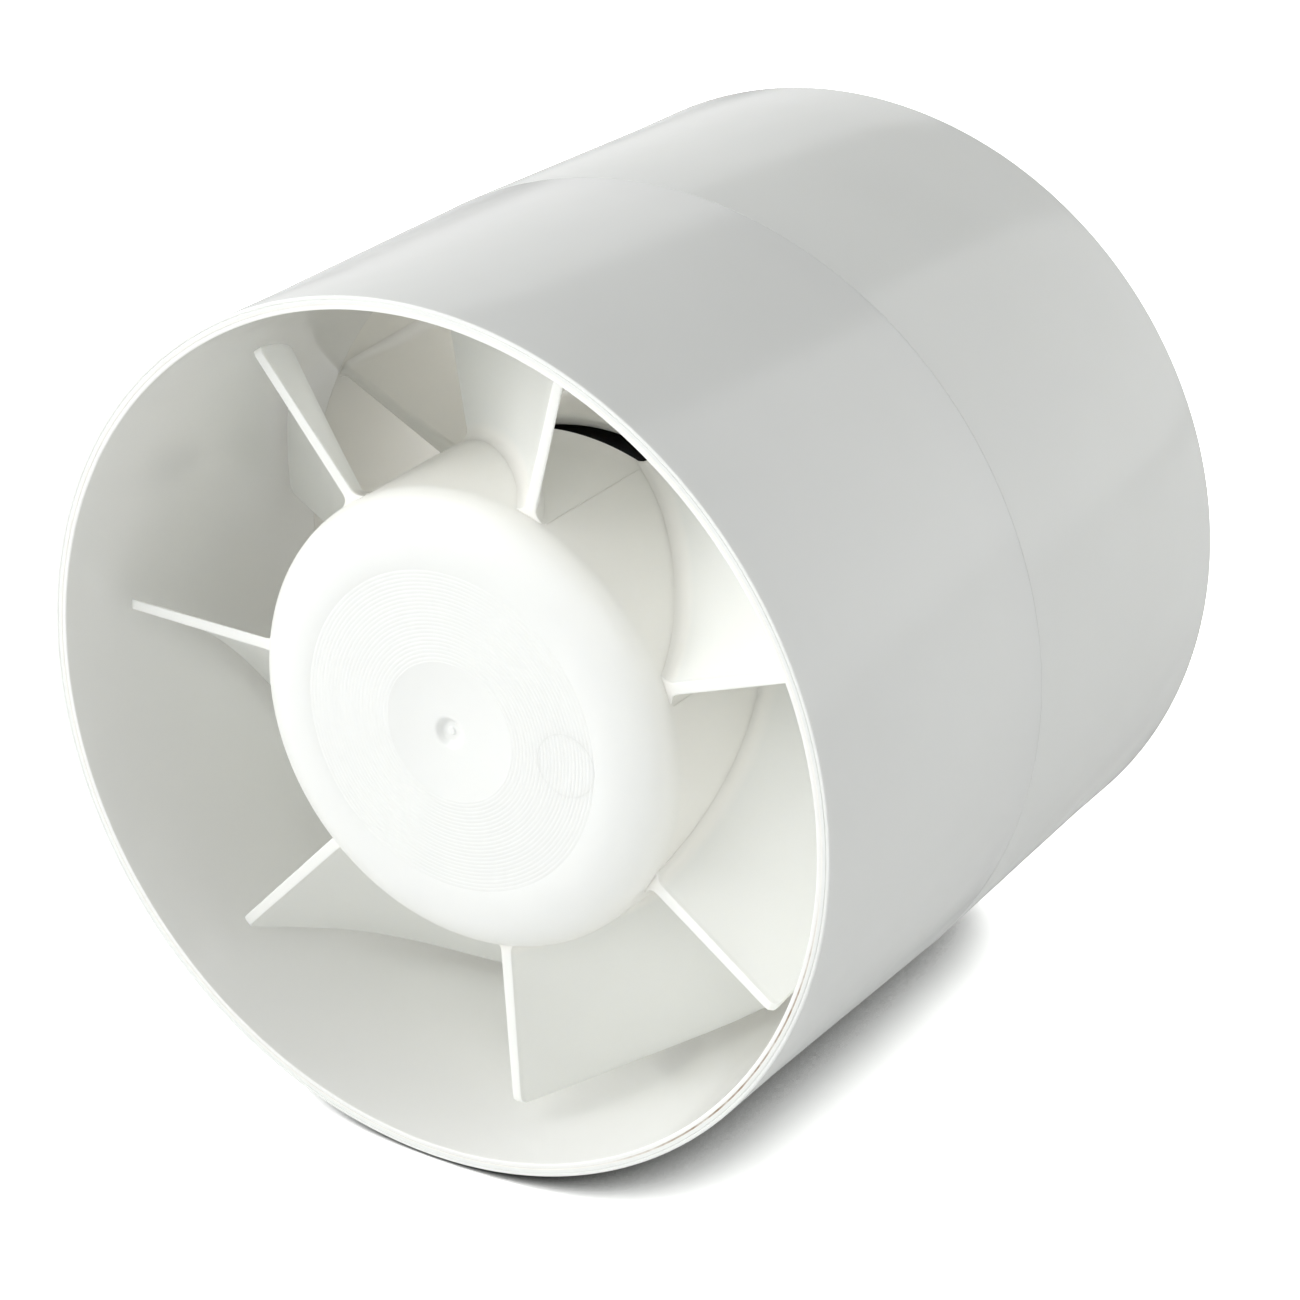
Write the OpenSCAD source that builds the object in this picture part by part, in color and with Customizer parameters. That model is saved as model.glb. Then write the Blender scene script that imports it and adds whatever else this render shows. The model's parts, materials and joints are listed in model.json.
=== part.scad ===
// Inline duct fan: a plain round tube with an axial impeller, driven by a
// small shaded-pole motor that sits in a cup in the middle of the tube.
//
// Millimetres. The axis of the tube lies along Y and the inlet faces -Y.
// The origin is the centre of the inlet rim, and +Z is up.
// Each sub-part is drawn with its depth behind the inlet rim counted down
// local -Z and its angles counted as seen from the inlet, then stood up by
// in_frame().

/* [Casing] */
// Outer radius of the two straight ends, which slide into a 125 mm duct
end_r = 61.75; // [61:0.05:62.2]
// Outer radius at the joint between the two halves of the tube
joint_r = 62.45; // [62.3:0.05:62.6]
// Length of the whole tube
casing_len = 111.5; // [108:0.5:116]
// Length of the straight land at each end
land_len = 12; // [8:1:20]
// Wall thickness at the outlet rim
outlet_wall = 1.9; // [1.6:0.1:2.4]
// Inner radius at the rear of the tapered inlet liner
throat_r = 58.3; // [57.8:0.1:58.8]
// Inner radius at the mouth of the inlet liner
mouth_r = 59.86; // [59.5:0.02:60]

/* [Motor cup and struts] */
// Outer radius of the motor cup
cup_r = 32.4; // [31.8:0.1:33]
// Wall thickness of the motor cup
cup_wall = 1.6; // [1.4:0.1:1.8]
// Depth of the cup's front rim
cup_front = 43.5; // [42:0.5:45]
// Depth of the cup's rear rim
cup_rear = 92; // [91:0.5:94]
// Number of struts between the cup and the tube
strut_count = 3; // [3:1:5]
// Angle of the first strut
strut_angle = 34.3; // [30:0.1:38]
// Thickness of a strut at the tube
strut_tip_t = 1.6; // [1.4:0.1:2]
// Thickness of a strut at the cup
strut_root_t = 3.2; // [2.6:0.1:3.6]

/* [Impeller] */
// Number of blades
blade_count = 7; // [5:1:7]
// Angle of the first leading edge
blade_angle = 21.1; // [0:0.1:51]
// Radius of the blade tips
tip_r = 56.4; // [55.6:0.1:56.6]
// Radius of the hub
hub_r = 33; // [32.8:0.1:33.2]
// Depth of the hub's flat face
hub_face = 6.8; // [6.4:0.1:7.2]
// Depth of the hub's rear rim
hub_back = 36.3; // [35.5:0.1:37]
// Angle that a blade turns through from front to back
blade_sweep = 46; // [40:0.5:48]
// Blade thickness at the leading edge
blade_t = 1.25; // [1:0.05:1.5]

/* [Motor] */
// Outer radius of the motor's plastic shields
motor_r = 29.4; // [29:0.1:29.6]
// Radius of the shaft
shaft_r = 2.5; // [2:0.1:2.5]
// Radius of the rotor
rotor_r = 13; // [12.6:0.1:13]
// Outer radius of the stator stack
stack_r = 27.7; // [27.3:0.1:27.7]
// Depth of the stack's front face
stack_front = 36; // [35:0.5:37]
// Length of the stack
stack_len = 18; // [16:1:18]

/* [Hidden] */

gap = 0.05;                 // assembly gap between pieces fixed to each other
edge_r = 0.4;               // rounding of the moulded rims
fine = 120;                 // facets of the large round walls in previews
mid = casing_len / 2;       // depth of the joint between the halves
lap_len = 5;                // overlap of the two halves
lap_r = 61.5;               // outer radius of the lapped tongue
liner_r = 60.5;             // outer radius of the inlet liner
liner_front = 0.25;         // depth of the liner's front edge
liner_back = mid - 1.15;    // depth of the liner's rear edge

strut_front = mid - 0.15;   // depth of the struts' front edges
strut_back = 86;            // depth of the struts' rear edges
floor_front = 74;           // depth of the cup's bulkhead
floor_back = 76.5;
cable_angle = 236;          // side that the cable enters from
cable_depth = 83.5;         // depth of the cable's way in
cable_r = 3.4;              // radius of the hole for the cable
neck_r = 5.3;               // radius of a grommet's neck
cup_pad = [28.6, 34];       // flat pads that the grommets grip, from and to
tube_pad = [56.2, 59.2];
cup_pad_r = 7.4;
tube_pad_r = 9.5;

shell_t = 1.6;              // wall of the motor's shields
shell_in = motor_r - shell_t;
shield_front = 17;          // depth of the front shield's face
shield_split = 47;          // depth of the seam between the shields
shield_back = 71;           // depth of the rear shield's face
shield_floor = 2;           // thickness of the shields' end faces
bearing_boss_r = 8;         // boss that holds a bearing and its felt
stack_back = stack_front + stack_len;
tie_pcd = 25.8;             // radius of the circle of tie screws
tie_angles = [0, 180];
mount_pcd = 21;             // radius of the circle of mounting screws
mount_angles = [75, 195, 315];
pole_angles = [45, 135, 225, 315];
bearing_r = 5;
bore_clear = 0.05;          // running clearance of the shaft in its bearings
rotor_gap = 0.35;           // air gap between rotor and stator
shoe_t = 2.2;               // thickness of a pole shoe
pole_w = 7;                 // width of a pole's body
yoke_in = 23.5;             // inner radius of the stator's ring
bobbin_in = rotor_r + rotor_gap + shoe_t + 0.1;
bobbin_out = 22.2;
bobbin_t = 0.7;
coil_step = 18.6;           // radius where the coil becomes thicker
shade_angle = 17;           // half angle between the shading slots of a pole
shade_span = 21;            // angle between the two sides of a shading ring
shade_in = rotor_r + rotor_gap + 0.15;
bar_count = 15;             // bars of the rotor's cage
bar_circle = 11.3;
bar_r = 0.9;
cage_ring = 2.55;           // length of the cage's end rings

shaft_front = 9.7;
shaft_back = 68.4;
boss_r = 6.5;               // boss in the hub that grips the shaft
boss_back = 15.4;
insert_r = 4;               // brass bush moulded into the boss
hub_wall = 1.6;
face_t = 1.8;               // thickness of the hub's face
shoulder_d = 5;             // depth of the hub's rounded shoulder
shoulder_r = 8.2;           // width of the hub's rounded shoulder
gate_r = 1.45;              // moulding gate in the middle of the hub's face
chord_steps = 14;           // facets of a blade, front to back and root to tip
span_steps = 6;
blade_root = hub_r - hub_wall / 2;
root_front = hub_face + shoulder_d + 0.1;
root_back = hub_back - 0.35;
tip_front = 9.3;
tip_back = 46;
corner_cut = 1.4;           // how far the leading corner of a tip is drawn in

block_x = 3;                // centre of the terminal block
block_y = 7.5;
block_w = 27;
block_h = 12;
block_front = floor_back + gap;
block_back = 88;
way_pitch = 8.4;            // spacing of the block's three ways
wire_depth = 83.6;          // depth at which the wires enter the block
lead_hole = [9, 250];       // radius and angle of the leads' way through
lead_r = 0.8;
lead_sides = 8;
lead_pitch = 2;             // spacing of the two leads where they run together
clamp_radius = 16;          // where the cord clamp lies, from the axis
clamp_screw = 5.6;          // its screws, from the cable's centre line
clamp_front = cable_depth + 0.8;
clamp_back = cable_depth + 4.6;
saddle_back = cable_depth - 0.6;
cover_pcd = 24.6;           // radius of the circle of cover screws
cover_angles = [160, 340];
cover_back = 95.5;
cover_t = 1.6;              // thickness of the cover
skirt_front = cup_rear - 2.5;
seat_drop = 1.5;            // depth of the cover's counterbores

white = [0.94, 0.94, 0.92];
cream = [0.93, 0.93, 0.89];
black = [0.05, 0.05, 0.05];
steel = [0.62, 0.63, 0.65];
copper = [0.72, 0.38, 0.18];

// ---- helpers -------------------------------------------------------------

module in_frame() rotate([90, 0, 0]) children();

// A round solid from radius and depth pairs
module turned(profile)
    rotate_extrude($fn = fine) polygon([for (p = profile) [p[0], -p[1]]]);

// A solid cylinder between two depths
module drum(r, front, back)
    translate([0, 0, -back]) cylinder(r = r, h = back - front, $fn = fine);

// A tube between two depths
module ring(r_out, r_in, front, back)
    difference() {
        drum(r_out, front, back);
        drum(r_in, front - 1, back + 1);
    }

// A block between two depths, centred on the axis
module slab(w, h, front, back)
    translate([-w / 2, -h / 2, -back]) cube([w, h, back - front]);

// Moves its children to a radius and an angle on the inlet view
module at(radius, angle) rotate([0, 0, angle]) translate([radius, 0, 0]) children();

// Points of an elliptical arc around [cr, cd], from angle a0 to a1
function arc(cr, cd, rr, rd, a0, a1, n = 8) =
    [for (i = [0:n]) let (a = a0 + (a1 - a0) * i / n) [cr + rr * cos(a), cd + rd * sin(a)]];

function mix(a, b, t) = a + (b - a) * t;

// A round hole or plug that runs outwards along the cable's way in
module cable_way(r, from, to)
    rotate([0, 0, cable_angle]) translate([from, 0, -cable_depth])
        rotate([0, 90, 0]) cylinder(r = r, h = to - from, $fn = 48);

// A pan-head screw that points to the front, with a cross recess behind
module screw(r, head_r, head_h, tip, seat) {
    drum(r, tip, seat);
    difference() {
        drum(head_r, seat, seat + head_h);
        slab(head_r * 1.2, 0.7, seat + head_h * 0.45, seat + head_h + 1);
        slab(0.7, head_r * 1.2, seat + head_h * 0.45, seat + head_h + 1);
    }
}

// ---- tube ----------------------------------------------------------------

module front_casing() in_frame() color(white)
    turned(concat(
        [[liner_r + gap, 0]],
        arc(end_r - edge_r, edge_r, edge_r, edge_r, -90, 0),
        [[end_r, land_len], [joint_r, mid], [lap_r + gap, mid],
         [lap_r + gap, mid - lap_len], [liner_r + gap, mid - lap_len]]));

module inlet_liner() in_frame() color(cream)
    turned([[mouth_r, liner_front], [liner_r, liner_front],
            [liner_r, liner_back], [throat_r, liner_back]]);

// Tapered plate between the cup and the tube
module strut()
    translate([0, 0, -strut_back]) linear_extrude(height = strut_back - strut_front)
        polygon([[cup_r - 1, -strut_root_t / 2], [throat_r + 1.9, -strut_tip_t / 2],
                 [throat_r + 1.9, strut_tip_t / 2], [cup_r - 1, strut_root_t / 2]]);

// Tube wall of the outlet half, with the tongue that laps into the front half
module rear_tube()
    turned(concat(
        [[throat_r + 0.2, liner_back + 0.2], [liner_r + gap, liner_back + 0.2],
         [liner_r + gap, mid - lap_len + 0.2], [lap_r, mid - lap_len + 0.2],
         [lap_r, mid + gap], [joint_r, mid + gap], [end_r, casing_len - land_len]],
        arc(end_r - edge_r, casing_len - edge_r, edge_r, edge_r, 0, 90),
        [[end_r - outlet_wall, casing_len], [end_r - outlet_wall, casing_len - land_len]]));

// Cup that carries the motor, with its bulkhead and the cover's screw bosses
module motor_cup() {
    ring(cup_r, cup_r - cup_wall, cup_front, cup_rear);
    drum(cup_r - cup_wall + 0.2, floor_front, floor_back);
    for (a = cover_angles)
        at(cover_pcd, a) drum(3.4, floor_back - 0.5, cup_rear - 1.2);
    difference() {
        cable_way(cup_pad_r, cup_pad[0], cup_pad[1]);
        drum(cup_pad[0], cable_depth - 9, cable_depth + 9);
    }
    // saddle that the cable is clamped down on
    difference() {
        at(clamp_radius, cable_angle) slab(5, 16, floor_back - 0.5, saddle_back);
        cable_way(cable_r - 0.1, 10, 22);
    }
}

module rear_casing() in_frame() color(white)
    difference() {
        union() {
            rear_tube();
            motor_cup();
            for (i = [0:strut_count - 1])
                rotate([0, 0, strut_angle + i * 360 / strut_count]) strut();
            difference() {
                cable_way(tube_pad_r, tube_pad[0], 60.6);
                drum(tube_pad[0], cable_depth - 11, cable_depth + 11);
            }
        }
        for (a = mount_angles)
            at(mount_pcd, a) drum(3.6, floor_front - 1, floor_back + 1);
        for (a = cover_angles)
            at(cover_pcd, a) drum(1.25, floor_back + 2, cup_rear);
        at(lead_hole[0], lead_hole[1]) drum(2.6, floor_front - 1, floor_back + 1);
        translate([block_x + way_pitch / 2, block_y, 0])
            drum(1.15, floor_front - 1, floor_back + 1);
        for (s = [-1, 1])
            at(clamp_radius, cable_angle) translate([0, s * clamp_screw, 0])
                drum(1.05, floor_back + 0.5, saddle_back + 1);
        cable_way(neck_r + gap, 26, 70);
        cable_way(7.6, tube_pad[1], 70);
    }

module grommet(front, back, flange_in, flange_out, flange_r)
    difference() {
        union() {
            cable_way(neck_r, front - 1, back + 1);
            cable_way(flange_r, flange_in, front);
            cable_way(flange_r, back, flange_out);
        }
        cable_way(cable_r, flange_in - 1, flange_out + 1);
    }

module cup_grommet() in_frame() color(black)
    grommet(cup_pad[0] - gap, cup_pad[1] + gap, 27.1, 35.4, 6.6);

module casing_grommet() in_frame() color(black)
    grommet(tube_pad[0] - gap, tube_pad[1] + gap, 54.6, 60.9, 7.3);

// ---- motor shell ---------------------------------------------------------

module motor_front_shield() in_frame() color(black)
    difference() {
        union() {
            turned([[0, shield_front], [motor_r - 2, shield_front],
                    [motor_r, shield_front + 2], [motor_r, shield_split],
                    [shell_in, shield_split],
                    [shell_in, shield_front + shield_floor + 1],
                    [shell_in - 1, shield_front + shield_floor],
                    [0, shield_front + shield_floor]]);
            drum(bearing_boss_r, shield_front + 1, 28);
            intersection() {
                for (a = tie_angles)
                    at(tie_pcd, a) drum(3, shield_front + 1, stack_front - gap);
                drum(shell_in + 0.2, shield_front, stack_front);
            }
        }
        drum(3, shield_front - 1, 29);
        drum(bearing_r + 0.02, shield_front + shield_floor + 0.3, 29);
        for (a = tie_angles)
            at(tie_pcd, a) drum(1.3, 22, stack_front + 1);
    }

module motor_rear_shield() in_frame() color(black)
    difference() {
        union() {
            turned([[0, shield_back], [motor_r - 2, shield_back],
                    [motor_r, shield_back - 2], [motor_r, shield_split + gap],
                    [shell_in, shield_split + gap],
                    [shell_in, shield_back - shield_floor - 1],
                    [shell_in - 1, shield_back - shield_floor],
                    [0, shield_back - shield_floor]]);
            drum(bearing_boss_r, 60.9, shield_back - 1);
            intersection() {
                for (a = tie_angles)
                    at(tie_pcd, a) drum(3, stack_back + gap, shield_back - 1);
                drum(shell_in + 0.2, stack_back, shield_back);
            }
            for (a = mount_angles)
                at(mount_pcd, a) drum(3.5, 60.9, shield_back - 1);
        }
        drum(bearing_r + 0.02, 60, shield_back - shield_floor - 0.3);
        for (a = tie_angles)
            at(tie_pcd, a) drum(1.3, stack_back - 1, shield_back + 1);
        for (a = mount_angles)
            at(mount_pcd, a) drum(1.55, 60, shield_back + 1);
        at(lead_hole[0], lead_hole[1]) drum(2.6, 60, shield_back + 1);
    }

// ---- stator --------------------------------------------------------------

module stator_core() in_frame() color(steel)
    difference() {
        union() {
            ring(stack_r, yoke_in, stack_front, stack_back);
            for (a = pole_angles)
                rotate([0, 0, a]) {
                    translate([rotor_r + 1, -pole_w / 2, -stack_back])
                        cube([yoke_in - rotor_r, pole_w, stack_len]);
                    intersection() {
                        ring(rotor_r + rotor_gap + shoe_t, rotor_r, stack_front, stack_back);
                        translate([0, 0, -stack_back]) linear_extrude(height = stack_len)
                            polygon([[0, 0], [20, 14], [20, -14]]);
                    }
                }
        }
        drum(rotor_r + rotor_gap, stack_front - 1, stack_back + 1);
        for (a = tie_angles)
            at(tie_pcd, a) drum(1.3, stack_front - 1, stack_back + 1);
        for (a = pole_angles, s = [-1, 1])
            rotate([0, 0, a + s * shade_angle]) translate([rotor_r, -0.5, -stack_back - 1])
                cube([1.7, 1, stack_len + 2]);
    }

// Rectangular hoop around a pole's body, r0 to r1 along the pole
module hoop(r0, r1, inner_w, inner_l, t)
    translate([r0, 0, -(stack_front + stack_back) / 2])
        difference() {
            translate([0, -inner_w / 2 - t, -inner_l / 2 - t])
                cube([r1 - r0, inner_w + 2 * t, inner_l + 2 * t]);
            translate([-1, -inner_w / 2, -inner_l / 2])
                cube([r1 - r0 + 2, inner_w, inner_l]);
        }

module pole_bobbins() in_frame() color([0.85, 0.83, 0.76])
    for (a = pole_angles)
        rotate([0, 0, a]) {
            hoop(bobbin_in, bobbin_out, pole_w + 0.1, stack_len + 0.1, bobbin_t);
            hoop(bobbin_in, bobbin_in + bobbin_t, pole_w + 0.1, stack_len + 0.1, 2.6);
            hoop(bobbin_out - bobbin_t, bobbin_out, pole_w + 0.1, stack_len + 0.1, 3.6);
        }

module coil_windings() in_frame() color(copper)
    for (a = pole_angles)
        rotate([0, 0, a]) {
            hoop(bobbin_in + bobbin_t + gap, coil_step, pole_w + 1.6, stack_len + 1.6, 2.2);
            hoop(coil_step, bobbin_out - bobbin_t - gap, pole_w + 1.6, stack_len + 1.6, 2.9);
        }

// Copper loop round the trailing part of each pole shoe
module shading_rings() in_frame() color(copper)
    for (a = pole_angles)
        rotate([0, 0, a + shade_angle]) {
            for (b = [0, shade_span])
                rotate([0, 0, b]) translate([shade_in, -0.4, -stack_back - 0.8])
                    cube([1.1, 0.8, stack_len + 1.6]);
            for (d = [stack_front - 0.8, stack_back + 0.1])
                intersection() {
                    ring(shade_in + 1.1, shade_in, d, d + 0.7);
                    translate([0, 0, -d - 2]) linear_extrude(height = 4)
                        polygon([[0, 0], [20, 0], [20, 20 * tan(shade_span)]]);
                }
        }

// ---- bearings ------------------------------------------------------------

module bearing(front, back)
    turned([[shaft_r + bore_clear, front], [bearing_r - 0.6, front],
            [bearing_r, front + 0.6], [bearing_r, back - 0.6],
            [bearing_r - 0.6, back], [shaft_r + bore_clear, back]]);

module front_bearing() in_frame() color([0.70, 0.52, 0.28]) bearing(21.1, 27.1);

module rear_bearing() in_frame() color([0.70, 0.52, 0.28]) bearing(61.2, 67.0);

module oil_felts() in_frame() color([0.80, 0.76, 0.62]) {
    ring(bearing_r - 0.1, shaft_r + 0.3, 19.4, 21.0);
    ring(bearing_r - 0.1, shaft_r + 0.3, 67.1, 68.6);
}

module bearing_retainers() in_frame() color(steel) {
    ring(7.4, 4.2, 28.05, 28.4);
    ring(7.4, 4.2, 60.5, 60.85);
}

// ---- fasteners of the motor ----------------------------------------------

module motor_tie_screws() in_frame() color(steel)
    for (a = tie_angles)
        at(tie_pcd, a) screw(1.25, 2.6, 1.7, 24, shield_back + gap);

module motor_mount_screws() in_frame() color(steel)
    for (a = mount_angles)
        at(mount_pcd, a) screw(1.5, 2.9, 2.1, 62, floor_back + 1.6);

module mount_bushes() in_frame() color(black)
    for (a = mount_angles)
        at(mount_pcd, a) difference() {
            union() {
                drum(4.9, shield_back + gap, floor_front - gap);
                drum(3.5, floor_front - 0.5, floor_back + 0.4);
            }
            drum(1.7, shield_back - 1, floor_back + 2);
        }

module mount_washers() in_frame() color(steel)
    for (a = mount_angles)
        at(mount_pcd, a) ring(4.4, 1.7, floor_back + 0.5, floor_back + 1.5);

// ---- wiring --------------------------------------------------------------

// Small cylindrical cut-out strapped to one coil end
module thermal_fuse() in_frame() color([0.82, 0.80, 0.74])
    rotate([0, 0, 225]) translate([19.4, -4.5, -59.2])
        rotate([-90, 0, 0]) cylinder(r = 1.3, h = 9, $fn = 32);

// Route of the first lead, from the coil ends through both walls to the block
lead_route = [
    [-12.5, -9.6, 58.9], [-11, -9.5, 59.2], [-8.6, -9.2, 60], [-5.6, -8.8, 62],
    [-3.8, -8.5, 65.5], [-3.1, -8.45, 70], [-3.1, -8.45, 77], [-3.5, -8, 80.6],
    [-4.4, -6, 83.2], [-5.2, -2.6, 83.6], [-5.4, 0.4, 83.6], [-5.4, 2.4, 83.6]
];

// How far the leads have parted at a depth, from 0 at the bulkhead to 1
function fan_out(depth) = min(1, max(0, (depth - floor_back - 0.5) / 6));

function unit(v) = v / norm(v);
function tangent(path, i) =
    unit(path[min(i + 1, len(path) - 1)] - path[max(i - 1, 0)]);

// Closed tube of lead_sides sides swept along a list of points
module sweep(path, r) {
    n = lead_sides;
    m = len(path);
    side = [1, 0.2, 0];
    points = [for (i = [0:m - 1], j = [0:n - 1])
        let (t = tangent(path, i), u = unit(cross(t, side)), v = cross(t, u), a = j * 360 / n)
        path[i] + r * (cos(a) * u + sin(a) * v)];
    walls = [for (i = [0:m - 2], j = [0:n - 1])
        each [[i * n + j, (i + 1) * n + j, (i + 1) * n + (j + 1) % n],
              [i * n + j, (i + 1) * n + (j + 1) % n, i * n + (j + 1) % n]]];
    ends = [[for (j = [0:n - 1]) j], [for (j = [n - 1:-1:0]) (m - 1) * n + j]];
    polyhedron(points, concat(walls, ends));
}

module motor_leads() in_frame() color([0.15, 0.30, 0.65])
    for (k = [0, 1])
        sweep([for (p = lead_route)
                   [p[0] + k * way_pitch * fan_out(p[2]), p[1] + (k - 0.5) * lead_pitch, -p[2]]],
              lead_r);

// ---- terminal compartment --------------------------------------------------

function way_x(i) = block_x + (i - 1) * way_pitch;

module terminal_block() in_frame() color([0.92, 0.91, 0.86])
    difference() {
        translate([block_x, block_y, 0]) slab(block_w, block_h, block_front, block_back);
        for (i = [0:2]) {
            translate([way_x(i), block_y, 0]) drum(2.3, 80.5, block_back + 1);
            translate([way_x(i) - 2.6, block_y - block_h, -86.2])
                cube([5.2, 2 * block_h, 5.2]);
        }
        for (s = [-1, 1])
            translate([block_x + s * way_pitch / 2, block_y, 0])
                drum(1.2, block_front - 1, block_back + 1);
    }

module terminal_clamps() in_frame() color([0.78, 0.62, 0.30])
    for (i = [0:2])
        translate([way_x(i), block_y, 0]) difference() {
            translate([-2.5, -4, -86.1]) cube([5, 8, 5]);
            translate([0, 5, -wire_depth]) rotate([90, 0, 0]) cylinder(r = 1.6, h = 10, $fn = 32);
            drum(1.3, 80, 87);
        }

module terminal_screws() in_frame() color(steel)
    for (i = [0:2])
        translate([way_x(i), block_y, 0]) difference() {
            union() {
                drum(1.25, 81.6, 86.2);
                drum(2.1, 86.2, 87.6);
            }
            slab(5, 0.6, 87, 88);
        }

module block_screw() in_frame() color(steel)
    translate([block_x + way_pitch / 2, block_y, 0]) {
        drum(1.1, floor_front - 0.5, block_back + gap);
        difference() {
            drum(1.9, block_back + gap, block_back + 1.4);
            slab(5, 0.6, block_back + 0.8, block_back + 2);
        }
    }

// Bridge that grips the cable just inside the cup's grommet
module cord_clamp() in_frame() color([0.92, 0.91, 0.86])
    at(clamp_radius, cable_angle) difference() {
        slab(5, 16, clamp_front, clamp_back);
        for (s = [-1, 1])
            translate([0, s * clamp_screw, 0]) drum(1.2, clamp_front - 1, clamp_back + 1);
        translate([-4, 0, -cable_depth])
            rotate([0, 90, 0]) cylinder(r = cable_r - 0.3, h = 8, $fn = 48);
    }

module cord_clamp_screws() in_frame() color(steel)
    at(clamp_radius, cable_angle)
        for (s = [-1, 1])
            translate([0, s * clamp_screw, 0])
                screw(1, 2, 1.4, floor_back + 1, clamp_back + gap);

module terminal_cover() in_frame() color(white)
    difference() {
        union() {
            turned(concat(
                [[0, cover_back - cover_t], [cup_r - 3.4, cover_back - cover_t],
                 [cup_r - 3.4, skirt_front], [cup_r - cup_wall - 0.15, skirt_front],
                 [cup_r - cup_wall - 0.15, cup_rear + gap], [cup_r, cup_rear + gap]],
                arc(cup_r - 2.5, cover_back - 2.5, 2.5, 2.5, 0, 90),
                [[0, cover_back]]));
            for (a = cover_angles)
                at(cover_pcd, a) drum(3.6, cup_rear - 1.2 + gap, cover_back - 0.5);
        }
        for (a = cover_angles)
            at(cover_pcd, a) {
                drum(1.6, cup_rear - 2, cover_back + 1);
                drum(3.1, cover_back - seat_drop, cover_back + 1);
            }
        // the skirt is notched over the pad of the cable's way in
        cable_way(cup_pad_r + 0.4, 26, cup_r - cup_wall + 0.1);
    }

module cover_screws() in_frame() color(steel)
    for (a = cover_angles)
        at(cover_pcd, a) screw(1.2, 2.8, 1.4, 82, cover_back - seat_drop + gap);

// ---- impeller ------------------------------------------------------------

// Angle turned through at chord fraction s and span fraction t
function turn(s, t) =
    let (k = mix(0.50, 0.45, t), n = mix(2, 4, t))
    blade_sweep * (k * s + (1 - k) * pow(s, n));

function turn_rate(s, t) = (turn(s + 0.01, t) - turn(s - 0.01, t)) / 0.02;

// Radius at span step i, drawn in at the leading corner of the tip
function span_r(i, s) =
    mix(blade_root, tip_r - corner_cut * pow(max(0, 1 - s / 0.12), 2), i / span_steps);

function span_t(r) = max(0, (r - hub_r) / (tip_r - hub_r));

// Point on one face of a blade: side is -1 or 1
function blade_point(i, j, side) =
    let (
        s = j / chord_steps,
        r = span_r(i, s),
        t = span_t(r),
        front = mix(root_front, tip_front, t),
        back = mix(root_back, tip_back, t),
        slope = r * turn_rate(max(s, 0.01), t) * PI / 180 / (back - front),
        half = mix(blade_t, blade_t * 0.7, s) / 2 * mix(1.2, 1, t) * sqrt(1 + slope * slope),
        a = turn(s, t) + side * half / r * 180 / PI
    )
    [r * cos(a), r * sin(a), -mix(front, back, s)];

function grid(i, j, side) =
    (side > 0 ? (span_steps + 1) * (chord_steps + 1) : 0) + i * (chord_steps + 1) + j;

module blade() {
    points = [for (side = [-1, 1], i = [0:span_steps], j = [0:chord_steps])
        blade_point(i, j, side)];
    faces = concat(
        [for (i = [0:span_steps - 1], j = [0:chord_steps - 1])
            each [[grid(i, j, -1), grid(i + 1, j + 1, -1), grid(i, j + 1, -1)],
                  [grid(i, j, -1), grid(i + 1, j, -1), grid(i + 1, j + 1, -1)],
                  [grid(i, j, 1), grid(i, j + 1, 1), grid(i + 1, j + 1, 1)],
                  [grid(i, j, 1), grid(i + 1, j + 1, 1), grid(i + 1, j, 1)]]],
        [for (i = [0:span_steps - 1], j = [0, chord_steps])
            each (j == 0
                ? [[grid(i, j, -1), grid(i, j, 1), grid(i + 1, j, 1)],
                   [grid(i, j, -1), grid(i + 1, j, 1), grid(i + 1, j, -1)]]
                : [[grid(i, j, -1), grid(i + 1, j, 1), grid(i, j, 1)],
                   [grid(i, j, -1), grid(i + 1, j, -1), grid(i + 1, j, 1)]])],
        [for (j = [0:chord_steps - 1], i = [0, span_steps])
            each (i == 0
                ? [[grid(i, j, -1), grid(i, j + 1, 1), grid(i, j, 1)],
                   [grid(i, j, -1), grid(i, j + 1, -1), grid(i, j + 1, 1)]]
                : [[grid(i, j, -1), grid(i, j, 1), grid(i, j + 1, 1)],
                   [grid(i, j, -1), grid(i, j + 1, 1), grid(i, j + 1, -1)]])]);
    polyhedron(points, faces);
}

// Cup-shaped hub: flat face, rounded shoulder and nearly straight side
module hub_shell()
    turned(concat(
        [[0, hub_face]],
        arc(hub_r - 0.2 - shoulder_r, hub_face + shoulder_d, shoulder_r, shoulder_d, -90, 0),
        [[hub_r, hub_back], [hub_r - hub_wall, hub_back]],
        arc(hub_r - 0.2 - shoulder_r, hub_face + shoulder_d + 0.4,
            shoulder_r - hub_wall, shoulder_d + 0.4 - face_t, 0, -90),
        [[0, hub_face + face_t]]));

module impeller() in_frame() color(cream)
    difference() {
        union() {
            hub_shell();
            drum(boss_r, hub_face + 1, boss_back);
            for (i = [0:blade_count - 1])
                rotate([0, 0, i * 360 / blade_count])
                    translate([boss_r - 1, -0.6, -hub_face - 4.4])
                        cube([hub_r - boss_r - 3, 1.2, 3.4]);
            for (i = [0:blade_count - 1])
                rotate([0, 0, blade_angle + i * 360 / blade_count]) blade();
        }
        drum(insert_r + 0.02, hub_face + face_t + 0.6, boss_back + 1);
        translate([0, 0, -hub_face]) cylinder(r = gate_r, h = 1, center = true, $fn = 32);
    }

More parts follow.
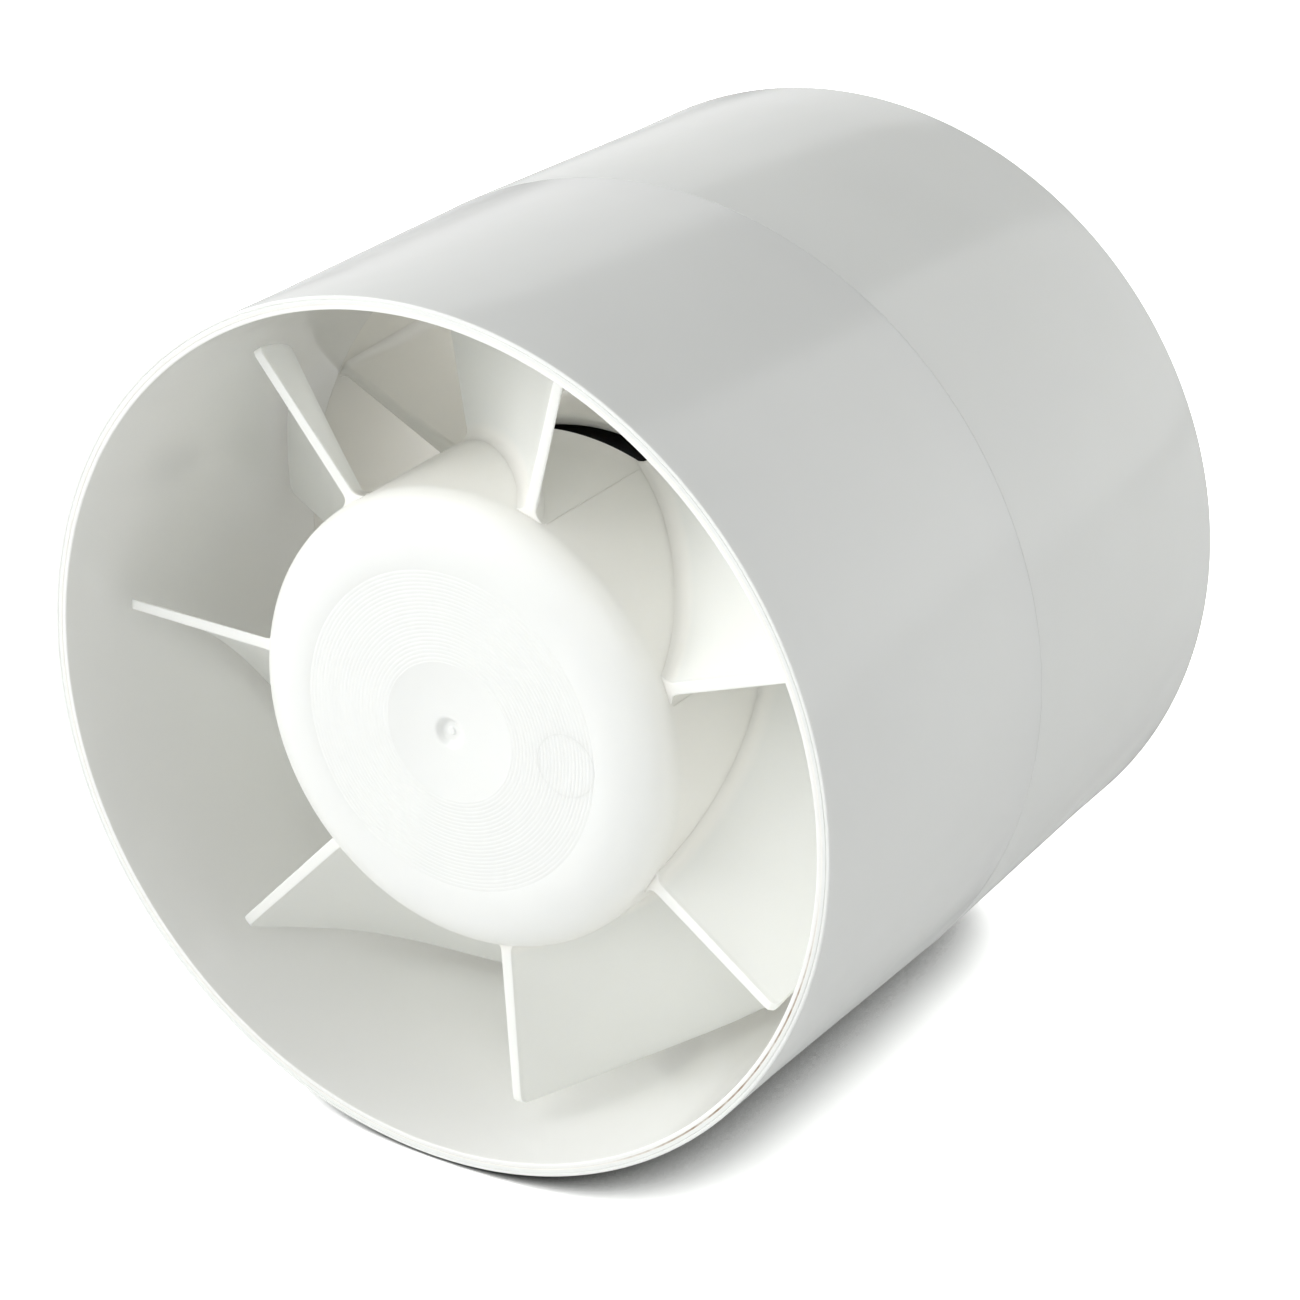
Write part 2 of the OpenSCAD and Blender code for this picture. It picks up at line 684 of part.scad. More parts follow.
module impeller_insert() in_frame() color([0.78, 0.62, 0.30])
    difference() {
        ring(insert_r, shaft_r + 0.02, hub_face + face_t + 0.65, boss_back);
        for (a = [0:24:336])
            rotate([0, 0, a]) translate([insert_r - 0.25, -0.2, -boss_back - 1])
                cube([1, 0.4, 8]);
    }

// ---- rotor ---------------------------------------------------------------

module shaft() in_frame() color(steel)
    difference() {
        turned([[0, shaft_front], [shaft_r - 0.3, shaft_front],
                [shaft_r, shaft_front + 0.3], [shaft_r, shaft_back - 0.3],
                [shaft_r - 0.3, shaft_back], [0, shaft_back]]);
        ring(shaft_r + 1, shaft_r - 0.5, 15.75, 16.35);
    }

module rotor_core() in_frame() color([0.45, 0.46, 0.48])
    difference() {
        ring(rotor_r, shaft_r + 0.02, stack_front, stack_back);
        for (i = [0:bar_count - 1])
            at(bar_circle, i * 360 / bar_count)
                drum(bar_r + 0.03, stack_front - 1, stack_back + 1);
    }

module rotor_cage() in_frame() color([0.80, 0.81, 0.83]) {
    ring(12.6, 8.4, stack_front - gap - cage_ring, stack_front - gap);
    ring(12.6, 8.4, stack_back + gap, stack_back + gap + cage_ring);
    for (i = [0:bar_count - 1])
        at(bar_circle, i * 360 / bar_count)
            drum(bar_r, stack_front - 0.5, stack_back + 0.5);
}

module rotor_spacers() in_frame() color([0.85, 0.83, 0.76]) {
    ring(4, shaft_r + 0.02, 29, stack_front - gap);
    ring(4, shaft_r + 0.02, stack_back + gap, 59.3);
}

module thrust_washers() in_frame() color([0.25, 0.20, 0.16]) {
    ring(3.9, shaft_r + 0.02, 27.5, 28.95);
    ring(3.9, shaft_r + 0.02, 59.35, 60.8);
}

module retaining_clip() in_frame() color(steel)
    difference() {
        ring(4.4, shaft_r - 0.45, 15.8, 16.3);
        translate([0, -1.6, -17]) cube([6, 3.2, 2]);
    }

// ---- nodes ---------------------------------------------------------------

front_casing();
inlet_liner();
rear_casing();
motor_front_shield();
motor_rear_shield();
stator_core();
pole_bobbins();
coil_windings();
shading_rings();
front_bearing();
rear_bearing();
oil_felts();
bearing_retainers();
motor_tie_screws();
motor_mount_screws();
mount_bushes();
mount_washers();
thermal_fuse();
motor_leads();
terminal_block();
terminal_screws();
terminal_clamps();
block_screw();
cord_clamp();
cord_clamp_screws();
terminal_cover();
cover_screws();
cup_grommet();
casing_grommet();
impeller();
impeller_insert();
shaft();
rotor_core();
rotor_cage();
rotor_spacers();
thrust_washers();
retaining_clip();
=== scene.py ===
"""Looks of the inline duct fan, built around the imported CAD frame.

Row frame: X right as seen from the inlet, Y the depth behind the inlet rim, Z up.
Profiles are written in millimetres as (radius, depth) and turned about the Y axis.
"""

import json
import math

import bmesh
import bpy
import numpy as np
from mathutils import Matrix, Vector


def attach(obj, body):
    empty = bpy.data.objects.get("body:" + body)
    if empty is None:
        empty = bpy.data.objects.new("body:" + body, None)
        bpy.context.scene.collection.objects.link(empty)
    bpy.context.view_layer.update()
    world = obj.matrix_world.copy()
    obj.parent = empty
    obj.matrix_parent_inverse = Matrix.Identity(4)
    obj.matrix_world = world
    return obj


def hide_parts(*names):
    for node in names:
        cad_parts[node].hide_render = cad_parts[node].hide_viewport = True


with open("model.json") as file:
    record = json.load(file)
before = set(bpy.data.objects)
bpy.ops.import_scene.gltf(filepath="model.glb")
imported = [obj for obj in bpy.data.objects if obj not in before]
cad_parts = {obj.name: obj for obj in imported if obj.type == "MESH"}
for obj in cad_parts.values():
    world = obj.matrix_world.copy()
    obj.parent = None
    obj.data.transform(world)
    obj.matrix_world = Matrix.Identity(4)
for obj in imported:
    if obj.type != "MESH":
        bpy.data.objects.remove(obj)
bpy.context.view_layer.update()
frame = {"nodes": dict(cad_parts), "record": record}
nodes = frame["nodes"]
MM = 0.001
TAU = 2 * math.pi

# sizes shared with the CAD part, in millimetres
END_R, JOINT_R, LENGTH, LAND = 61.75, 62.45, 111.5, 12.0
MID = LENGTH / 2
LINER_R, THROAT_R, MOUTH_R = 60.5, 58.3, 59.86
LINER_BACK, LAP_R, LAP = MID - 1.15, 61.5, 5.0
OUTLET_R = END_R - 1.9
CUP_R, CUP_WALL, CUP_FRONT, CUP_REAR = 32.4, 1.6, 43.5, 92.0
FLOOR_FRONT, FLOOR_BACK = 74.0, 76.5
STRUT_FRONT, STRUT_BACK, STRUT_ANGLE = MID - 0.15, 86.0, 34.3
HUB_R, HUB_FACE, HUB_BACK, HUB_WALL, FACE_T = 33.0, 6.8, 36.3, 1.6, 1.8
SHOULDER_D, SHOULDER_R = 5.0, 8.2
BLADES, BLADE_ANGLE, TIP_R, SWEEP, BLADE_T = 7, 21.1, 56.4, 46.0, 1.25
ROOT_FRONT, ROOT_BACK = HUB_FACE + SHOULDER_D + 0.1, HUB_BACK - 0.35
TIP_FRONT, TIP_BACK = 9.3, 46.0
CABLE_ANGLE, CABLE_DEPTH = 236.0, 83.5
MOUNTS, COVERS = (75, 195, 315), (160, 340)
# holes in the cup's floor: distances of the motor's and the cover's screws from the axis,
# distance and angle of the leads' hole, and place (x, z) of the terminal block's
MOUNT_OUT, COVER_OUT, LEAD_HOLE, BLOCK_HOLE = 21.0, 24.6, (9, 250), (7.2, 7.5)
# the cable's way in: holes, the grommet's seat and the pads round both grommets
CABLE_R, SEAT_R, TUBE_PAD_R, CUP_PAD_R = 5.35, 7.6, 9.5, 7.4
# the block that the cord clamp presses the cable on: its distance from the axis and its half sizes
SADDLE_OUT, SADDLE_W, SADDLE_L, CLAMP_SCREW_OUT = 16, 2.5, 8, 5.6
# lines moulded into the hub's side, and the ejector pin's mark on its face
SEAM_ANGLE, PIN_R, PIN_OUT = 68.4, 4.4, 18.5

# how finely round shapes are divided, and the edge angle in degrees that stays sharp
TUBE_SIDES, HUB_SIDES, CUP_SIDES, CABLE_SIDES, ROD_SIDES = 512, 384, 320, 96, 48
SHARP, SHARP_CAD = 38, 36


# ---- meshes ----------------------------------------------------------------


def link(obj):
    bpy.context.scene.collection.objects.link(obj)
    return obj


def solid(name, verts, faces, sharp=SHARP):
    """A mesh object from points in millimetres, with its faces turned outwards."""
    mesh = bpy.data.meshes.new(name)
    mesh.from_pydata([tuple(v) for v in np.asarray(verts, float) * MM], [], faces)
    bm = bmesh.new()
    bm.from_mesh(mesh)
    bmesh.ops.remove_doubles(bm, verts=bm.verts, dist=1e-7)
    bmesh.ops.recalc_face_normals(bm, faces=bm.faces)
    bm.to_mesh(mesh)
    bm.free()
    mesh.shade_smooth()
    if sharp:
        mesh.set_sharp_from_angle(angle=math.radians(sharp))
    return link(bpy.data.objects.new(name, mesh))


def rounded(corners, steps=5):
    """Closed outline through corners (r, d, fillet) with each corner rounded by its fillet."""
    out = []
    count = len(corners)
    for i, (r, d, fillet) in enumerate(corners):
        p = np.array([r, d], float)
        if fillet <= 0:
            out.append(p)
            continue
        a = np.array(corners[i - 1][:2], float) - p
        b = np.array(corners[(i + 1) % count][:2], float) - p
        la, lb = np.linalg.norm(a), np.linalg.norm(b)
        a, b = a / la, b / lb
        half = math.acos(max(-1.0, min(1.0, float(a @ b)))) / 2
        if half > math.radians(89.5):
            out.append(p)
            continue
        cut = min(fillet / math.tan(half), la * 0.45, lb * 0.45)
        radius = cut * math.tan(half)
        centre = p + (a + b) / np.linalg.norm(a + b) * radius / math.sin(half)
        s, e = p + a * cut - centre, p + b * cut - centre
        turn = math.atan2(s[0] * e[1] - s[1] * e[0], float(s @ e))
        for k in range(steps + 1):
            t = turn * k / steps
            c, w = math.cos(t), math.sin(t)
            out.append(centre + np.array([s[0] * c - s[1] * w, s[0] * w + s[1] * c]))
    return out


def lathe(outline, segments=HUB_SIDES, closed=True):
    """Points and faces of an outline turned about the Y axis. Points on the axis are shared."""
    pts = [np.array(p, float) for p in outline]
    verts, index = [], []
    for r, d in pts:
        if r < 1e-6:
            verts.append((0, d, 0))
            index.append([len(verts) - 1] * segments)
        else:
            base = len(verts)
            for k in range(segments):
                a = TAU * k / segments
                verts.append((r * math.cos(a), d, r * math.sin(a)))
            index.append(list(range(base, base + segments)))
    faces = []
    count = len(pts)
    for i in range(count if closed else count - 1):
        a, b = index[i], index[(i + 1) % count]
        if a[0] == a[1] and b[0] == b[1]:
            continue
        for k in range(segments):
            q = (k + 1) % segments
            face = [a[k], a[q], b[q], b[k]]
            if a[0] == a[1]:
                face = [a[k], b[q], b[k]]
            elif b[0] == b[1]:
                face = [a[k], a[q], b[k]]
            faces.append(face)
    return verts, faces


def grid_faces(rows, cols, base=0, wrap=True):
    """Quads of a grid of points, wrapped along its columns."""
    faces = []
    for i in range(rows - 1):
        for j in range(cols if wrap else cols - 1):
            q = (j + 1) % cols
            faces.append(
                [
                    base + i * cols + j,
                    base + i * cols + q,
                    base + (i + 1) * cols + q,
                    base + (i + 1) * cols + j,
                ]
            )
    return faces


def spin(verts, degrees):
    """Points turned about the Y axis, counter-clockwise as seen from the inlet."""
    a = math.radians(degrees)
    v = np.asarray(verts, float)
    x, z = v[:, 0], v[:, 2]
    return np.stack(
        [x * math.cos(a) - z * math.sin(a), v[:, 1], x * math.sin(a) + z * math.cos(a)], 1
    )


def gather(parts):
    """Several (points, faces) as one."""
    verts, faces, base = [], [], 0
    for v, f in parts:
        v = np.asarray(v, float)
        verts.append(v)
        faces += [[i + base for i in face] for face in f]
        base += len(v)
    return np.vstack(verts), faces


def rod(radius, front, back, x=0.0, z=0.0, edge=0.0):
    """A cylinder along the Y axis with softened ends."""
    outline = rounded([(0, front, 0), (radius, front, edge), (radius, back, edge), (0, back, 0)], 3)
    v, f = lathe(outline, ROD_SIDES, closed=False)
    v = np.asarray(v, float)
    v[:, 0] += x
    v[:, 2] += z
    return v, f


def polar(radius, degrees):
    return radius * math.cos(math.radians(degrees)), radius * math.sin(math.radians(degrees))


def way_in(radius, start, end):
    """A cylinder that runs outwards along the cable's way in."""
    a = math.radians(CABLE_ANGLE)
    out = np.array([math.cos(a), 0, math.sin(a)])
    side = np.array([-math.sin(a), 0, math.cos(a)])
    deep = np.array([0, 1.0, 0])
    sides = CABLE_SIDES
    verts = []
    for d in (start, end):
        for k in range(sides):
            t = TAU * k / sides
            p = out * d + side * radius * math.cos(t) + deep * radius * math.sin(t)
            verts.append(p + deep * CABLE_DEPTH)
    faces = grid_faces(2, sides)
    faces += [list(range(sides)), list(range(sides, 2 * sides))]
    return np.array(verts), faces


def cut(obj, parts):
    """Takes the parts out of obj."""
    tool = solid(obj.name + "_tool", *gather(parts), sharp=0)
    mod = obj.modifiers.new("cut", "BOOLEAN")
    mod.operation = "DIFFERENCE"
    mod.solver = "EXACT"
    mod.object = tool
    deps = bpy.context.evaluated_depsgraph_get()
    done = bpy.data.meshes.new_from_object(obj.evaluated_get(deps))
    obj.modifiers.remove(mod)
    old, obj.data = obj.data, done
    bpy.data.meshes.remove(old)
    bpy.data.objects.remove(tool)
    obj.data.shade_smooth()
    obj.data.set_sharp_from_angle(angle=math.radians(SHARP))
    return obj


def join(name, objs):
    """Several mesh objects as one, kept as separate shells."""
    bm = bmesh.new()
    for o in objs:
        bm.from_mesh(o.data)
    mesh = bpy.data.meshes.new(name)
    bm.to_mesh(mesh)
    bm.free()
    for o in objs:
        bpy.data.objects.remove(o)
    mesh.shade_smooth()
    mesh.set_sharp_from_angle(angle=math.radians(SHARP))
    return link(bpy.data.objects.new(name, mesh))


# ---- materials -------------------------------------------------------------


class Look:
    """A principled material with a few helpers for its procedural detail."""

    def __init__(self, name, color, rough, **values):
        self.mat = bpy.data.materials.new(name + "_look")
        self.mat.use_nodes = True
        self.mat.diffuse_color = (*color, 1)
        self.tree = self.mat.node_tree
        self.shader = self.tree.nodes["Principled BSDF"]
        self.shader.inputs["Base Color"].default_value = (*color, 1)
        self.shader.inputs["Roughness"].default_value = rough
        for key, value in values.items():
            self.shader.inputs[key.replace("_", " ")].default_value = value
        self.color = color
        self.coords = None

    def node(self, kind, **values):
        made = self.tree.nodes.new(kind)
        for key, value in values.items():
            if hasattr(made, key):
                setattr(made, key, value)
            else:
                made.inputs[key.replace("_", " ")].default_value = value
        return made

    def wire(self, a, b):
        self.tree.links.new(a, b)

    def place(self):
        """Object coordinates, which are the row frame in metres."""
        if self.coords is None:
            self.coords = self.node("ShaderNodeTexCoord")
        return self.coords.outputs["Object"]

    def noise(self, scale, detail=3.0, stretch=(1, 1, 1)):
        mapping = self.node("ShaderNodeMapping")
        mapping.inputs["Scale"].default_value = stretch
        self.wire(self.place(), mapping.inputs["Vector"])
        noise = self.node("ShaderNodeTexNoise", Scale=scale, Detail=detail)
        self.wire(mapping.outputs[0], noise.inputs["Vector"])
        return noise.outputs["Fac"]

    def ranged(self, source, low, high, lo=0.35, hi=0.65):
        made = self.node("ShaderNodeMapRange")
        made.inputs["From Min"].default_value = lo
        made.inputs["From Max"].default_value = hi
        made.inputs["To Min"].default_value = low
        made.inputs["To Max"].default_value = high
        self.wire(source, made.inputs["Value"])
        return made.outputs["Result"]

    def math(self, kind, a, b=0.0):
        made = self.node("ShaderNodeMath", operation=kind)
        for socket, value in zip(made.inputs, (a, b)):
            if isinstance(value, (int, float)):
                socket.default_value = value
            else:
                self.wire(value, socket)
        return made.outputs[0]

    def paint(self, mask, other):
        """Another base colour wherever the mask is one."""
        return self.tint(mask, other, 0.0, 1.0, 0.0, 1.0)

    def tint(self, source, other, low=0.0, high=1.0, lo=0.35, hi=0.65):
        """The base colour drifts towards another one where the source is high."""
        mix = self.node("ShaderNodeMix", data_type="RGBA")
        base = self.shader.inputs["Base Color"]
        if base.is_linked:
            self.wire(base.links[0].from_socket, mix.inputs["A"])
        else:
            mix.inputs["A"].default_value = (*self.color, 1)
        mix.inputs["B"].default_value = (*other, 1)
        self.wire(self.ranged(source, low, high, lo, hi), mix.inputs["Factor"])
        self.wire(mix.outputs["Result"], base)
        return self

    def roughen(self, source, low, high):
        self.wire(self.ranged(source, low, high), self.shader.inputs["Roughness"])
        return self

    def split(self):
        made = self.node("ShaderNodeSeparateXYZ")
        self.wire(self.place(), made.inputs[0])
        return made

    def radius(self):
        """Distance from the Y axis, in millimetres."""
        split = self.split()
        x, z = split.outputs["X"], split.outputs["Z"]
        flat = self.math("ADD", self.math("MULTIPLY", x, x), self.math("MULTIPLY", z, z))
        return self.math("MULTIPLY", self.math("SQRT", flat), 1000.0)

    def turn(self):
        """Angle about the Y axis in degrees, counter-clockwise as seen from the inlet."""
        split = self.split()
        angle = self.math("ARCTAN2", split.outputs["Z"], split.outputs["X"])
        return self.math("MULTIPLY", angle, 180 / math.pi)

    def depth(self):
        return self.math("MULTIPLY", self.split().outputs["Y"], 1000.0)

    def within(self, source, low, high, soft):
        """One between low and high, fading to nothing over the soft width outside them."""
        up = self.ranged(source, 0.0, 1.0, low - soft, low)
        down = self.ranged(source, 1.0, 0.0, high, high + soft)
        return self.math("MULTIPLY", up, down)

    def joint_dust(self):
        """Brown dust that has settled in the rim's joint, low on the right-hand side."""
        mask = self.within(self.radius(), 60.44, 60.62, 0.05)
        mask = self.math("MULTIPLY", mask, self.within(self.turn(), -46, -20, 16))
        mask = self.math("MULTIPLY", mask, self.within(self.depth(), -1, 0.8, 0.3))
        mask = self.math("MULTIPLY", mask, self.ranged(self.noise(420.0, 4.0), 0.35, 1.0))
        return self.paint(mask, (0.34, 0.225, 0.13))

    def bump(self, source, distance):
        """Adds a height, in millimetres at full scale."""
        made = self.node("ShaderNodeBump", Strength=1.0)
        made.inputs["Distance"].default_value = distance * MM
        self.wire(source, made.inputs["Height"])
        normal = self.shader.inputs["Normal"]
        if normal.is_linked:
            self.wire(normal.links[0].from_socket, made.inputs["Normal"])
        self.wire(made.outputs["Normal"], normal)
        return self


def white_plastic(name, color, rough, scatter):
    look = Look(name, color, rough, IOR=1.5)
    look.shader.inputs["Subsurface Weight"].default_value = scatter
    look.shader.inputs["Subsurface Radius"].default_value = (1.0, 0.95, 0.85)
    look.shader.inputs["Subsurface Scale"].default_value = 2.2 * MM
    look.roughen(look.noise(70.0, 4.0), rough * 0.88, rough * 1.12)
    look.tint(look.noise(26.0, 2.0), tuple(c * 0.975 for c in color))
    look.bump(look.noise(1500.0, 2.0), 0.0015)
    return look


def metal(name, color, rough, grain=(1, 1, 1), scale=600.0):
    look = Look(name, color, rough, Metallic=1.0)
    look.roughen(look.noise(scale, 3.0, grain), rough * 0.8, rough * 1.25)
    look.tint(look.noise(140.0, 3.0), tuple(c * 0.88 for c in color))
    look.bump(look.noise(scale, 2.0, grain), 0.006)
    return look


def dull(name, color, rough, grain, depth):
    look = Look(name, color, rough)
    look.roughen(look.noise(160.0, 3.0), rough * 0.85, min(1.0, rough * 1.15))
    look.tint(look.noise(90.0, 3.0), tuple(c * 0.88 for c in color))
    look.bump(look.noise(grain, 3.0), depth)
    return look


def make_looks():
    looks = {}
    casing = white_plastic("casing_white", (0.868, 0.886, 0.858), 0.16, 0.15)
    # painted light: every casing surface nearer the axis than the liner's outside (the tube's
    # inside, the cup, the struts) is painted lighter and warmer, standing in for light that reaches
    # inside the tube
    painted_light_inside = casing.within(casing.radius(), 0.0, LINER_R + 0.02, 0.3)
    casing.paint(painted_light_inside, (0.955, 0.945, 0.888))
    liner = white_plastic("liner_white", (0.938, 0.943, 0.912), 0.13, 0.15)
    for look in (casing, liner):
        look.joint_dust()
    looks["casing_white"] = casing
    looks["liner_white"] = liner
    cream = white_plastic("impeller_cream", (0.898, 0.912, 0.876), 0.34, 0.22)
    # painted light: the hub's side behind the shoulder is painted lighter and warmer, standing in
    # for light thrown onto it from the tube's inside
    hub_side_painted_light = cream.within(cream.radius(), 0, 33.6, 1.5)
    side = cream.math("MULTIPLY", hub_side_painted_light, cream.within(cream.depth(), 13, 60, 5))
    cream.paint(side, (0.962, 0.950, 0.892))
    # painted shade: the middle of the hub's front face is painted darker than the rest, to dim the
    # strong light falling on it
    hub_face_painted_shade = cream.within(cream.radius(), 0, 27, 5)
    face = cream.math("MULTIPLY", hub_face_painted_shade, cream.within(cream.depth(), -1, 11, 3))
    cream.paint(face, (0.848, 0.864, 0.840))
    looks["impeller_cream"] = cream
    looks["motor_black"] = dull("motor_black", (0.014, 0.014, 0.015), 0.45, 700.0, 0.02)
    stack = metal("lamination_steel", (0.36, 0.36, 0.38), 0.42)
    wave = stack.node("ShaderNodeTexWave", wave_type="BANDS", bands_direction="Y", Scale=318.0)
    stack.wire(stack.place(), wave.inputs["Vector"])
    stack.tint(wave.outputs["Fac"], (0.10, 0.08, 0.07), 0.0, 0.75, 0.0, 0.35)
    stack.bump(wave.outputs["Fac"], 0.05)
    looks["lamination_steel"] = stack
    wound = Look("winding_copper", (0.62, 0.20, 0.06), 0.24, Metallic=0.85)
    wound.shader.inputs["Coat Weight"].default_value = 0.7
    wound.shader.inputs["Coat Roughness"].default_value = 0.12
    wound.tint(wound.noise(180.0, 3.0), (0.40, 0.11, 0.03))
    wound.roughen(wound.noise(300.0, 2.0), 0.29, 0.38)
    looks["winding_copper"] = wound
    looks["bobbin_nylon"] = dull("bobbin_nylon", (0.74, 0.70, 0.58), 0.42, 300.0, 0.01)
    looks["sintered_bronze"] = metal("sintered_bronze", (0.44, 0.27, 0.12), 0.48, scale=1600.0)
    looks["oil_felt"] = dull("oil_felt", (0.36, 0.30, 0.18), 0.95, 1100.0, 0.16)
    looks["zinc_steel"] = metal("zinc_steel", (0.62, 0.63, 0.64), 0.35)
    looks["shaft_steel"] = metal("shaft_steel", (0.60, 0.61, 0.63), 0.20, (1, 12, 1))
    looks["black_rubber"] = dull("black_rubber", (0.018, 0.018, 0.019), 0.62, 520.0, 0.02)
    looks["fuse_ceramic"] = dull("fuse_ceramic", (0.70, 0.68, 0.60), 0.50, 500.0, 0.02)
    looks["lead_blue"] = dull("lead_blue", (0.015, 0.055, 0.32), 0.36, 250.0, 0.008)
    looks["terminal_nylon"] = dull("terminal_nylon", (0.78, 0.76, 0.68), 0.40, 300.0, 0.012)
    looks["terminal_brass"] = metal("terminal_brass", (0.66, 0.46, 0.16), 0.35)
    looks["cage_aluminium"] = metal("cage_aluminium", (0.70, 0.71, 0.72), 0.40, scale=380.0)
    looks["fibre_washer"] = dull("fibre_washer", (0.10, 0.055, 0.03), 0.6, 900.0, 0.03)
    return looks


# ---- pieces ----------------------------------------------------------------


def front_casing():
    outline = rounded(
        [
            (LINER_R + 0.015, 0.0, 0.02),
            (61.13, 0.0, 0.03),
            (61.21, 0.16, 0.03),
            (61.29, 0.0, 0.03),
            (END_R, 0.0, 0.34),
            (END_R, LAND, 60),
            (JOINT_R, MID - 0.01, 0.03),
            (LAP_R + 0.05, MID - 0.01, 0.05),
            (LAP_R + 0.05, MID - LAP, 0.05),
            (LINER_R + 0.05, MID - LAP, 0.05),
        ]
    )
    return solid("front_casing_skin", *lathe(outline, TUBE_SIDES))


def inlet_liner():
    outline = rounded(
        [
            (MOUTH_R, 0.03, 0.2),
            (LINER_R, 0.03, 0.03),
            (LINER_R, LINER_BACK, 0.15),
            (THROAT_R, LINER_BACK, 0.25),
        ],
        6,
    )
    return solid("inlet_liner_skin", *lathe(outline, TUBE_SIDES))


def strut_points(angle):
    """Plate between cup and tube, thinner towards the tube, with a fillet at each end."""
    rows, corner, thick, thin = [], 8, 3.2, 1.6
    radii = np.concatenate(
        [np.linspace(31.6, 35.4, 16), np.linspace(36.5, 54.5, 10), np.linspace(55.6, 60.2, 16)]
    )
    for r in radii:
        share = (r - CUP_R) / (THROAT_R - CUP_R)
        half = (thick + (thin - thick) * max(0.0, min(1.0, share))) / 2
        flare = 0.0
        for wall, sign, size in ((CUP_R, 1, 2.0), (THROAT_R + 0.5, -1, 1.6)):
            away = (r - wall) * sign
            if away < size:
                away = max(0.0, away)
                flare = size - math.sqrt(max(0.0, size * size - (size - away) ** 2))
        half += flare
        front, back = STRUT_FRONT - flare * 0.35, STRUT_BACK + flare
        edge = min(0.75, half * 0.9)
        row = []
        for cu, cd, a0 in (
            (half - edge, front + edge, -90),
            (half - edge, back - edge, 0),
            (-half + edge, back - edge, 90),
            (-half + edge, front + edge, 180),
        ):
            for k in range(corner):
                a = math.radians(a0 + 90 * k / (corner - 1))
                row.append((r, cd + edge * math.sin(a), cu + edge * math.cos(a)))
        rows.append(row)
    cols = len(rows[0])
    verts = [p for row in rows for p in row]
    faces = grid_faces(len(rows), cols)
    faces += [list(range(cols)), list(range((len(rows) - 1) * cols, len(rows) * cols))]
    return spin(verts, angle), faces


def rear_casing():
    tube = solid(
        "rear_tube",
        *lathe(
            rounded(
                [
                    (THROAT_R + 0.2, LINER_BACK + 0.2, 0.2),
                    (LINER_R + 0.05, LINER_BACK + 0.2, 0.05),
                    (LINER_R + 0.05, MID - LAP + 0.2, 0.05),
                    (LAP_R, MID - LAP + 0.2, 0.1),
                    (LAP_R, MID + 0.01, 0),
                    (JOINT_R + 0.025, MID + 0.01, 0.07),
                    (END_R, LENGTH - LAND, 60),
                    (END_R, LENGTH, 0.42),
                    (OUTLET_R, LENGTH, 0.3),
                    (OUTLET_R, LENGTH - LAND, 60),
                ]
            ),
            TUBE_SIDES,
        ),
    )
    tube_pad = solid("tube_pad", *way_in(TUBE_PAD_R, 56.2, 60.6))
    for piece in (tube, tube_pad):
        cut(piece, [way_in(CABLE_R, 50, 70)])
        cut(piece, [way_in(SEAT_R, 59.2, 70)])

    inner = CUP_R - CUP_WALL
    cup = solid(
        "cup",
        *lathe(
            rounded(
                [
                    (0, FLOOR_FRONT, 0),
                    (inner, FLOOR_FRONT, 1.0),
                    (inner, CUP_FRONT, 0.5),
                    (CUP_R, CUP_FRONT, 0.6),
                    (CUP_R, CUP_REAR, 0.25),
                    (inner, CUP_REAR, 0.3),
                    (inner, FLOOR_BACK, 1.0),
                    (0, FLOOR_BACK, 0),
                ]
            ),
            CUP_SIDES,
            closed=False,
        ),
    )
    holes = [rod(3.6, 70, 80, *polar(MOUNT_OUT, a)) for a in MOUNTS]
    holes += [rod(2.6, 70, 80, *polar(*LEAD_HOLE)), rod(1.15, 70, 80, *BLOCK_HOLE)]
    cut(cup, holes)
    cup_pad = solid("cup_pad", *way_in(CUP_PAD_R, 28.6, 34))
    for piece in (cup, cup_pad):
        cut(piece, [way_in(CABLE_R, 26, 40)])
    posts = []
    for a in COVERS:
        x, z = polar(COVER_OUT, a)
        post = solid(f"post_{a}", *rod(3.4, FLOOR_BACK - 0.5, CUP_REAR - 1.2, x, z, 0.3))
        cut(post, [rod(1.25, FLOOR_BACK + 2, CUP_REAR, x, z)])
        posts.append(post)
    a = math.radians(CABLE_ANGLE)
    out, side = np.array([math.cos(a), math.sin(a)]), np.array([-math.sin(a), math.cos(a)])
    box = []
    for d in (FLOOR_BACK - 0.5, CABLE_DEPTH - 0.6):
        for u, w in ((-1, -1), (1, -1), (1, 1), (-1, 1)):
            x, z = out * (SADDLE_OUT + u * SADDLE_W) + side * w * SADDLE_L
            box.append((x, d, z))
    saddle = solid("saddle", box, [*grid_faces(2, 4), [0, 1, 2, 3], [4, 5, 6, 7]])
    cut(saddle, [way_in(3.3, 10, 22)])
    for s in (-1, 1):
        x, z = out * SADDLE_OUT + side * s * CLAMP_SCREW_OUT
        cut(saddle, [rod(1.05, FLOOR_BACK + 0.5, CABLE_DEPTH + 1, x, z)])
    struts = [solid(f"strut_{i}", *strut_points(STRUT_ANGLE + 120 * i)) for i in range(3)]
    return join("rear_casing_skin", [tube, tube_pad, cup, cup_pad, saddle, *posts, *struts])


def blade_turn(s, t):
    k, n = 0.50 - 0.05 * t, 2 + 2 * t
    return SWEEP * (k * s + (1 - k) * s**n)


